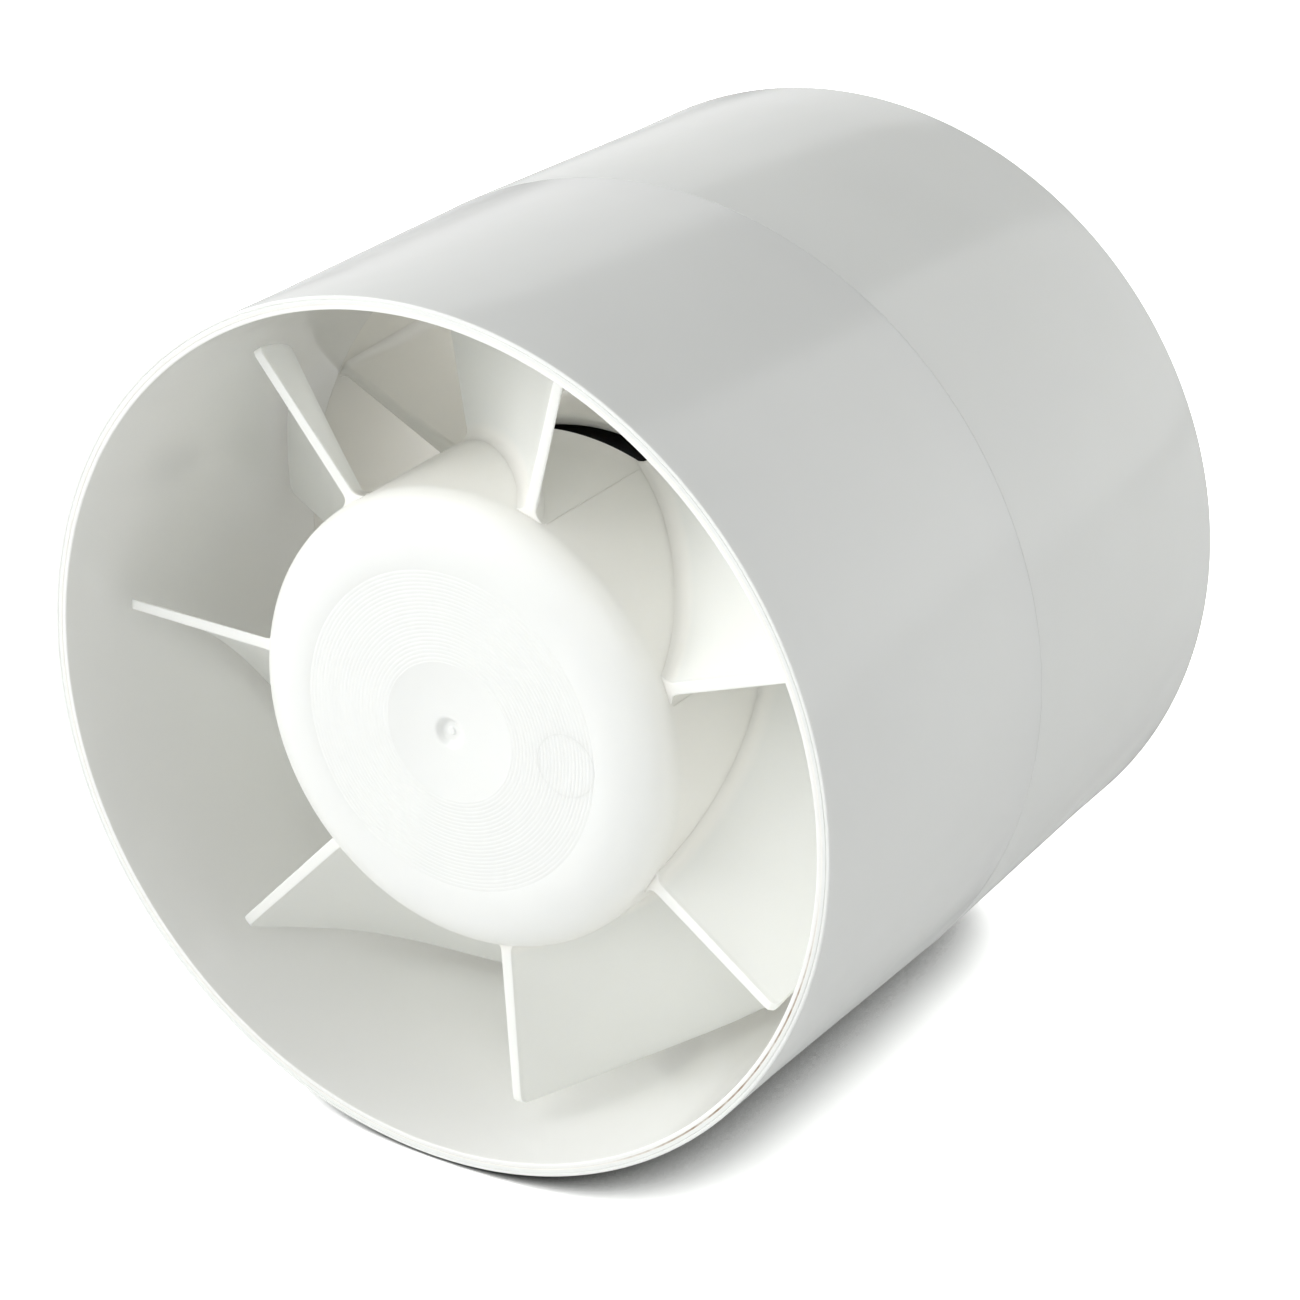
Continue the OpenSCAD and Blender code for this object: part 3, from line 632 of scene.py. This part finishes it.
def blade_points(angle):
    """One blade: an outline with rounded edges, lofted from inside the hub's wall to the tip."""
    chord, cap, spare = 72, 13, 6
    tip, corner, root = 0.2, 1.1, 1.3
    reach = TIP_R - tip
    radii = list(HUB_R - 0.9 + np.linspace(0, 2.9, 12))
    radii += list(np.linspace(HUB_R + 2.4, reach, 40)[1:])
    rows = []

    def outline(r, inset):
        t = min(1.0, max(0.0, (r - HUB_R) / (TIP_R - HUB_R)))
        front = ROOT_FRONT + (TIP_FRONT - ROOT_FRONT) * t
        back = ROOT_BACK + (TIP_BACK - ROOT_BACK) * t
        whole_front, whole_back = front, back
        if r > TIP_R - corner:
            drawn_in = corner - math.sqrt(max(0.0, corner**2 - (r - TIP_R + corner) ** 2))
            front += drawn_in
            back -= 0.5 * drawn_in
        near = r - HUB_R
        fillet = 0.0
        if near < root:
            near = max(0.0, near)
            fillet = root - math.sqrt(max(0.0, root**2 - (root - near) ** 2))
        centre, width = [], []
        for k in range(chord + 1):
            d = front + (back - front) * k / chord
            s = min(1.0, max(0.0, (d - whole_front) / (whole_back - whole_front)))
            a = math.radians(blade_turn(s, t)) * r
            thick = BLADE_T * (1.2 - 0.2 * t) * (1 - 0.3 * s) / 2
            centre.append((a, d))
            width.append(max(0.05, thick + fillet * 0.8 - inset))
        # both ends run on a little, then each side is cut off square to the axis
        centre = np.array(centre)
        more = np.arange(1, spare + 1)[:, None]
        before = centre[0] - (centre[1] - centre[0]) * more[::-1]
        centre = np.vstack([before, centre, centre[-1] + (centre[-1] - centre[-2]) * more])
        width = np.concatenate([[width[0]] * spare, width, [width[-1]] * spare])
        run = np.gradient(centre, axis=0)
        run /= np.linalg.norm(run, axis=1)[:, None]
        normal = np.stack([-run[:, 1], run[:, 0]], 1)
        front_edge, back_edge = min(0.24, width[0]), min(0.2, width[-1])
        index = np.arange(len(centre))
        first, last = front + inset + front_edge, back - inset - back_edge
        up, down = [], []
        for side, sign in ((up, 1), (down, -1)):
            curve = centre + sign * normal * width[:, None]
            steps = np.linspace(
                np.interp(first, curve[:, 1], index), np.interp(last, curve[:, 1], index), chord
            )
            across, deep = (np.interp(steps, index, curve[:, c]) for c in (0, 1))
            side += list(zip(across, deep))
        square = []
        for k in range(1, cap):
            c, w = math.cos(math.pi * k / cap), math.sin(math.pi * k / cap)
            square.append((math.copysign(abs(c) ** 0.45, c), w**0.45))
        loop = list(up)
        mid, half = (up[-1][0] + down[-1][0]) / 2, (up[-1][0] - down[-1][0]) / 2
        loop += [(mid + half * c, last + back_edge * w) for c, w in square]
        loop += list(down[::-1])
        mid, half = (up[0][0] + down[0][0]) / 2, (up[0][0] - down[0][0]) / 2
        loop += [(mid - half * c, first - front_edge * w) for c, w in square]
        return [(r * math.cos(p[0] / r), p[1], r * math.sin(p[0] / r)) for p in loop]

    for r in radii:
        rows.append(outline(r, 0.0))
    for k in range(1, 6):
        a = math.pi / 2 * k / 5
        rows.append(outline(reach + tip * math.sin(a), tip * (1 - math.cos(a))))
    cols = len(rows[0])
    verts = [p for row in rows for p in row]
    faces = grid_faces(len(rows), cols)
    base = (len(rows) - 1) * cols
    for ring in (0, base):
        left = [ring + i for i in range(chord)]
        right = [ring + chord + cap - 1 + (chord - 1 - i) for i in range(chord)]
        for i in range(chord - 1):
            faces.append([left[i], left[i + 1], right[i + 1], right[i]])
        faces.append([left[-1], *[ring + chord + k for k in range(cap - 1)], right[-1]])
        faces.append([right[0], *[ring + 2 * chord + cap - 1 + k for k in range(cap - 1)], left[0]])
    return spin(verts, angle), faces


def impeller():
    corner = HUB_R - 0.2 - SHOULDER_R
    disc = HUB_FACE + 0.05
    # from the centre outwards: a dimple with a stub standing in it, a flat disc, turned grooves
    outer = [(0, disc + 0.55), (0.45, disc + 0.57), (0.62, disc + 0.76), (1.25, disc + 0.8)]
    outer += [(1.65, disc + 0.6), (2.05, disc + 0.12), (2.25, disc + 0.02), (2.6, disc)]
    outer += [(9.8, disc), (9.9, HUB_FACE + 0.02), (10.0, HUB_FACE)]
    groove, pitch, last_groove, groove_depth = 10.2, 0.55, 23.2, 0.02
    while groove < last_groove:
        outer += [
            (groove - 0.10, HUB_FACE),
            (groove - 0.04, HUB_FACE + groove_depth),
            (groove + 0.04, HUB_FACE + groove_depth),
            (groove + 0.10, HUB_FACE),
        ]
        groove += pitch
    # the rounded shoulder
    for k in range(33):
        a = math.radians(-90 + 90 * k / 32)
        outer.append(
            (corner + SHOULDER_R * math.cos(a), HUB_FACE + SHOULDER_D + SHOULDER_D * math.sin(a))
        )
    outer += [(HUB_R - 0.1, 24.0)]
    bore = HUB_R - HUB_WALL
    lip = [(HUB_R, 30, 0), (HUB_R, HUB_BACK, 0.35), (bore, HUB_BACK, 0.3), (bore, 30, 0)]
    outer += [(p[0], p[1]) for p in rounded(lip, 4)]
    # the shoulder's inner face
    for k in range(17):
        a = math.radians(-90 * k / 16)
        outer.append(
            (
                corner + (SHOULDER_R - HUB_WALL) * math.cos(a),
                HUB_FACE + SHOULDER_D + 0.4 + (SHOULDER_D + 0.4 - FACE_T) * math.sin(a),
            )
        )
    inner = HUB_FACE + FACE_T
    outer += [(7.4, inner), (6.9, inner + 0.12), (6.5, inner + 0.9)]
    outer += [(6.5, 15.1), (6.2, 15.4), (4.3, 15.4), (4.02, 15.15), (4.02, 9.25), (0, 9.25)]
    hub = solid("hub", *lathe(outer, HUB_SIDES, closed=False), sharp=32)
    ribs = []
    for i in range(BLADES):
        bar = []
        for x in (5.5, 28.4):
            for z, d in ((-0.6, 8.1), (0.6, 8.1), (0.45, 11.2), (-0.45, 11.2)):
                bar.append((x, d, z))
        v = spin(bar, i * 360 / BLADES)
        ribs.append((v, [*grid_faces(2, 4), [0, 1, 2, 3], [4, 5, 6, 7]]))
    bars = solid("hub_ribs", *gather(ribs))
    blades = [
        solid(f"blade_{i}", *blade_points(BLADE_ANGLE + i * 360 / BLADES), sharp=60)
        for i in range(BLADES)
    ]
    # faint parting lines along the hub's side, half sunk in it
    seams, steps, sides = [], 24, 8
    for i in range(BLADES):
        line = []
        for d in np.linspace(12.4, HUB_BACK - 0.5, steps):
            r = HUB_R - 0.1 + 0.1 * max(0.0, (d - 24) / 6 if d < 30 else 1.0)
            for k in range(sides):
                a = TAU * k / sides
                line.append((r - 0.02 + 0.07 * math.cos(a), d, 0.09 * math.sin(a)))
        f = grid_faces(steps, sides)
        f += [list(range(sides)), list(range((steps - 1) * sides, steps * sides))]
        seams.append((spin(line, SEAM_ANGLE + i * 360 / BLADES), f))
    lines = solid("hub_seams", *gather(seams))
    mark, around = [], 96
    for k in range(around):
        a = TAU * k / around
        for j in range(sides):
            t = TAU * j / sides
            r = PIN_R + 0.06 * math.cos(t)
            mark.append((PIN_OUT + r * math.cos(a), HUB_FACE + 0.01 * math.sin(t), r * math.sin(a)))
    rows = grid_faces(around + 1, sides)
    ring = solid("pin_mark", mark, [[i % (around * sides) for i in f] for f in rows])
    return join("impeller_moulding", [hub, bars, lines, ring, *blades])


def coils():
    """Each coil as turns of wire laid side by side round its bobbin."""
    parts = []
    wire, width, length, middle = 0.62, 8.6, 19.6, 45
    for angle in (45, 135, 225, 315):
        for start, end, layers in ((17.1, 18.55, 3), (18.6, 22.1, 4)):
            for layer in range(layers):
                grow = wire * (layer + 0.5)
                half_w, half_l = width / 2 + grow, length / 2 + grow
                edge = 0.5 + grow
                r = start + wire / 2 + (wire / 2 if layer % 2 else 0)
                while r < end - wire / 2:
                    path = []
                    for cu, cd, a0 in (
                        (half_w - edge, half_l - edge, 0),
                        (-half_w + edge, half_l - edge, 90),
                        (-half_w + edge, -half_l + edge, 180),
                        (half_w - edge, -half_l + edge, 270),
                    ):
                        for k in range(6):
                            a = math.radians(a0 + 90 * k / 5)
                            path.append((cu + edge * math.cos(a), cd + edge * math.sin(a), a))
                    line, cols = [], 6
                    for u, d, a in path:
                        for k in range(cols):
                            t = TAU * k / cols
                            up, out = wire / 2 * math.sin(t), wire / 2 * math.cos(t)
                            deep = middle + d + out * math.sin(a)
                            line.append((r + up, deep, u + out * math.cos(a)))
                    rows = len(path)
                    f = grid_faces(rows, cols)
                    for j in range(cols):
                        q = (j + 1) % cols
                        f.append([(rows - 1) * cols + j, (rows - 1) * cols + q, q, j])
                    parts.append((spin(line, angle), f))
                    r += wire
    return solid("coil_wire", *gather(parts), sharp=0)


def leads():
    """The two insulated leads as smooth curves from the coil ends to the terminals."""
    route = [
        (-12.5, -9.6, 58.9), (-11, -9.5, 59.2), (-8.6, -9.2, 60), (-5.6, -8.8, 62),
        (-3.8, -8.5, 65.5), (-3.1, -8.45, 70), (-3.1, -8.45, 77), (-3.5, -8, 80.6),
        (-4.4, -6, 83.2), (-5.2, -2.6, 83.6), (-5.4, 0.4, 83.6), (-5.4, 2.4, 83.6),
    ]
    way_pitch, lead_pitch, lead_r = 8.4, 2, 0.8
    parts = []
    for k in (0, 1):
        pts = []
        for x, z, d in route:
            fan = min(1.0, max(0.0, (d - FLOOR_BACK - 0.5) / 6))
            pts.append(np.array([x + k * way_pitch * fan, d, z + (k - 0.5) * lead_pitch]))
        path = []
        for i in range(len(pts) - 1):
            p0, p1, p2 = pts[max(0, i - 1)], pts[i], pts[i + 1]
            p3 = pts[min(len(pts) - 1, i + 2)]
            for s in np.linspace(0, 1, 8, endpoint=False):
                path.append(
                    0.5
                    * (
                        2 * p1
                        + (p2 - p0) * s
                        + (2 * p0 - 5 * p1 + 4 * p2 - p3) * s * s
                        + (3 * p1 - p0 - 3 * p2 + p3) * s**3
                    )
                )
        path.append(pts[-1])
        path = np.array(path)
        run = np.gradient(path, axis=0)
        run /= np.linalg.norm(run, axis=1)[:, None]
        line, cols = [], 20
        side = np.array([1.0, 0.0, 0.2])
        for p, t in zip(path, run):
            u = np.cross(t, side)
            u /= np.linalg.norm(u)
            v = np.cross(t, u)
            for j in range(cols):
                a = TAU * j / cols
                line.append(p + lead_r * (math.cos(a) * u + math.sin(a) * v))
        f = grid_faces(len(path), cols)
        f += [list(range(cols)), list(range((len(path) - 1) * cols, len(path) * cols))]
        parts.append((np.array(line), f))
    return solid("lead_wires", *gather(parts), sharp=50)


def softened():
    """Node group for the plain CAD meshes: smooths all but their sharp edges."""
    tree = bpy.data.node_groups.new("softened", "GeometryNodeTree")
    tree.interface.new_socket("Geometry", in_out="INPUT", socket_type="NodeSocketGeometry")
    tree.interface.new_socket("Geometry", in_out="OUTPUT", socket_type="NodeSocketGeometry")
    start, end = tree.nodes.new("NodeGroupInput"), tree.nodes.new("NodeGroupOutput")
    faces = tree.nodes.new("GeometryNodeSetShadeSmooth")
    edges = tree.nodes.new("GeometryNodeSetShadeSmooth")
    edges.domain = "EDGE"
    angle = tree.nodes.new("GeometryNodeInputMeshEdgeAngle")
    test = tree.nodes.new("ShaderNodeMath")
    test.operation = "LESS_THAN"
    test.inputs[1].default_value = math.radians(SHARP_CAD)
    tree.links.new(start.outputs[0], faces.inputs["Geometry"])
    tree.links.new(faces.outputs[0], edges.inputs["Geometry"])
    tree.links.new(angle.outputs["Unsigned Angle"], test.inputs[0])
    tree.links.new(test.outputs[0], edges.inputs["Shade Smooth"])
    tree.links.new(edges.outputs[0], end.inputs[0])
    return tree


LOOKS = make_looks()
SMOOTH = softened()


def refine(obj, width):
    """Rounds the edges of a CAD node and shades it smoothly, without touching its mesh."""
    weld = obj.modifiers.new("weld", "WELD")
    weld.merge_threshold = 1e-6
    bevel = obj.modifiers.new("bevel", "BEVEL")
    bevel.width = width * MM
    bevel.limit_method = "ANGLE"
    bevel.angle_limit = math.radians(SHARP_CAD)
    bevel.segments = 2
    bevel.miter_outer = "MITER_ARC"
    smooth = obj.modifiers.new("smooth", "NODES")
    smooth.node_group = SMOOTH
    normals = obj.modifiers.new("normals", "WEIGHTED_NORMAL")
    normals.keep_sharp = True


def dress(obj, slot_name, body=None, node=None):
    obj.data.materials.clear()
    obj.data.materials.append(LOOKS[slot_name].mat)
    if node:
        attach(obj, body)
        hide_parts(node)


SLOTS = {s["node"]: s["material_slot"] for s in frame["record"]["subparts"]}
REPLACED = ("front_casing", "inlet_liner", "rear_casing", "impeller", "coil_windings", "motor_leads")
EDGES = {"stator_core": 0.05, "shading_rings": 0.08, "rotor_cage": 0.08, "retaining_clip": 0.06}
for name, obj in nodes.items():
    dress(obj, SLOTS[name])
    if name not in REPLACED:
        refine(obj, EDGES.get(name, 0.12))

dress(front_casing(), "casing_white", "housing", "front_casing")
dress(inlet_liner(), "liner_white", "housing", "inlet_liner")
dress(rear_casing(), "casing_white", "housing", "rear_casing")
dress(impeller(), "impeller_cream", "spinner", "impeller")
dress(coils(), "winding_copper", "housing", "coil_windings")
dress(leads(), "lead_blue", "housing", "motor_leads")


# ---- stage -----------------------------------------------------------------


def area_light(name, place, target, width, height, power):
    data = bpy.data.lights.new(name, "AREA")
    data.energy = power
    data.shape = "RECTANGLE"
    data.size = width
    data.size_y = height
    obj = link(bpy.data.objects.new(name, data))
    obj.location = place
    obj.rotation_mode = "QUATERNION"
    obj.rotation_quaternion = (Vector(target) - Vector(place)).to_track_quat("-Z", "Y")
    return obj


def panel(name, azimuth, elevation, away, width, height, glow, mirrored=True):
    """A soft panel of even brightness that faces the object and is not seen itself."""
    a, e = math.radians(azimuth), math.radians(elevation)
    centre = Vector((0, 0.055, 0))
    out = Vector((math.cos(a) * math.cos(e), math.sin(a) * math.cos(e), math.sin(e)))
    power = glow * math.pi * width * height
    obj = area_light(name, centre + out * away, centre, width, height, power)
    obj.visible_camera = False
    obj.visible_glossy = mirrored
    return obj


def wall(name, low, high, away, front, back, glow):
    """A long panel whose edges run along the tube, between two angles about the Y axis."""
    half = math.radians(high - low) / 2
    a = math.radians(low) + half
    out = Vector((math.cos(a), 0, math.sin(a))) * away
    side, length = 2 * away * math.tan(half), back - front
    centre = out + Vector((0, (front + back) / 2, 0))
    obj = area_light(name, centre, centre - out, side, length, glow * math.pi * side * length)
    axes = Matrix((Vector((math.sin(a), 0, -math.cos(a))), Vector((0, 1, 0)), out.normalized()))
    obj.rotation_quaternion = axes.transposed().to_quaternion()
    obj.visible_camera = False
    return obj


def floor_sheet():
    floor_z = -JOINT_R * MM
    mesh = bpy.data.meshes.new("floor")
    half = 1.6
    corners = [(x * half, y * half, floor_z) for x, y in ((-1, -1), (1, -1), (1, 1), (-1, 1))]
    mesh.from_pydata(corners, [], [[0, 1, 2, 3]])
    floor = link(bpy.data.objects.new("floor", mesh))
    look = Look("floor_paper", (0.90, 0.90, 0.90), 0.7)
    look.tint(look.noise(14.0, 3.0), (0.88, 0.88, 0.88))
    # printed brighter than white to the camera, so only the shadow of the object is left on it, and
    # a painted shadow from ambient occlusion darkens it further near the object
    path = look.node("ShaderNodeLightPath")
    paper = look.node("ShaderNodeBsdfDiffuse")
    # painted shadow: the paper's colour falls towards black wherever ambient occlusion finds the
    # object close by
    near = look.node("ShaderNodeAmbientOcclusion", samples=32, Distance=0.03)
    painted_contact_shadow = look.node("ShaderNodeMapRange", interpolation_type="SMOOTHSTEP")
    for name, value in (("From Min", 0.1), ("From Max", 0.44), ("To Min", 0.0), ("To Max", 2.3)):
        painted_contact_shadow.inputs[name].default_value = value
    look.wire(near.outputs["AO"], painted_contact_shadow.inputs["Value"])
    look.wire(painted_contact_shadow.outputs["Result"], paper.inputs["Color"])
    both = look.node("ShaderNodeMixShader")
    look.wire(path.outputs["Is Camera Ray"], both.inputs[0])
    look.wire(look.shader.outputs[0], both.inputs[1])
    look.wire(paper.outputs[0], both.inputs[2])
    look.wire(both.outputs[0], look.tree.nodes["Material Output"].inputs["Surface"])
    floor.data.materials.append(look.mat)


def studio_world():
    world = bpy.data.worlds.new("studio")
    world.use_nodes = True
    tree = world.node_tree
    back = tree.nodes["Background"]
    back.inputs["Color"].default_value = (1, 1, 1, 1)
    # dimmer overhead than at the horizon, and plain white to the camera
    place = tree.nodes.new("ShaderNodeTexCoord")
    split = tree.nodes.new("ShaderNodeSeparateXYZ")
    tree.links.new(place.outputs["Generated"], split.inputs[0])
    height = tree.nodes.new("ShaderNodeMapRange")
    height.interpolation_type = "SMOOTHSTEP"
    height.inputs["From Min"].default_value = 0.0
    height.inputs["From Max"].default_value = 0.9
    height.inputs["To Min"].default_value = 0.47
    height.inputs["To Max"].default_value = 0.13
    tree.links.new(split.outputs["Z"], height.inputs["Value"])
    path = tree.nodes.new("ShaderNodeLightPath")
    level = tree.nodes.new("ShaderNodeMix")
    tree.links.new(path.outputs["Is Camera Ray"], level.inputs["Factor"])
    tree.links.new(height.outputs["Result"], level.inputs["A"])
    level.inputs["B"].default_value = 1.0
    tree.links.new(level.outputs["Result"], back.inputs["Strength"])
    bpy.context.scene.world = world


def lights():
    panel("key_right", -72, 24, 1.1, 1.0, 0.8, 1.0)
    panel("key_left", -120, 16, 1.1, 0.9, 0.7, 1.55)
    panel("key_high", -130, 43, 1.1, 0.8, 0.7, 1.95)
    panel("side_left", -155, 18, 1.1, 0.8, 0.7, 2.2)
    wall("wall_left", 128, 183, 1.0, 0.2, 2.4, 0.49)
    wall("wall_right", -2.5, 75, 1.0, 0.2, 3.0, 0.67)
    panel("low_right", 22, 0, 1.4, 1.0, 0.5, 0.9, mirrored=False)
    panel("through_outlet", 90, 0, 0.9, 0.5, 0.34, 4.6, mirrored=False)
    panel("above_outlet", 90, 24, 0.9, 0.4, 0.3, 2.2, mirrored=False)


def camera():
    data = bpy.data.cameras.new("camera")
    data.sensor_width = 36.0
    data.lens = 101.51
    data.clip_start = 0.01
    data.clip_end = 30.0
    obj = link(bpy.data.objects.new("camera", data))
    aim = Vector((0.0017, 0.0537, -0.0057))
    azimuth, elevation, away = math.radians(32.37), math.radians(24.61), 0.5213
    back = Vector(
        (
            math.sin(azimuth) * math.cos(elevation),
            -math.cos(azimuth) * math.cos(elevation),
            math.sin(elevation),
        )
    )
    obj.location = aim + back * away
    obj.rotation_mode = "QUATERNION"
    obj.rotation_quaternion = (-back).to_track_quat("-Z", "Y")
    bpy.context.scene.camera = obj


floor_sheet()
studio_world()
lights()
camera()
bpy.context.scene.view_settings.view_transform = "Standard"
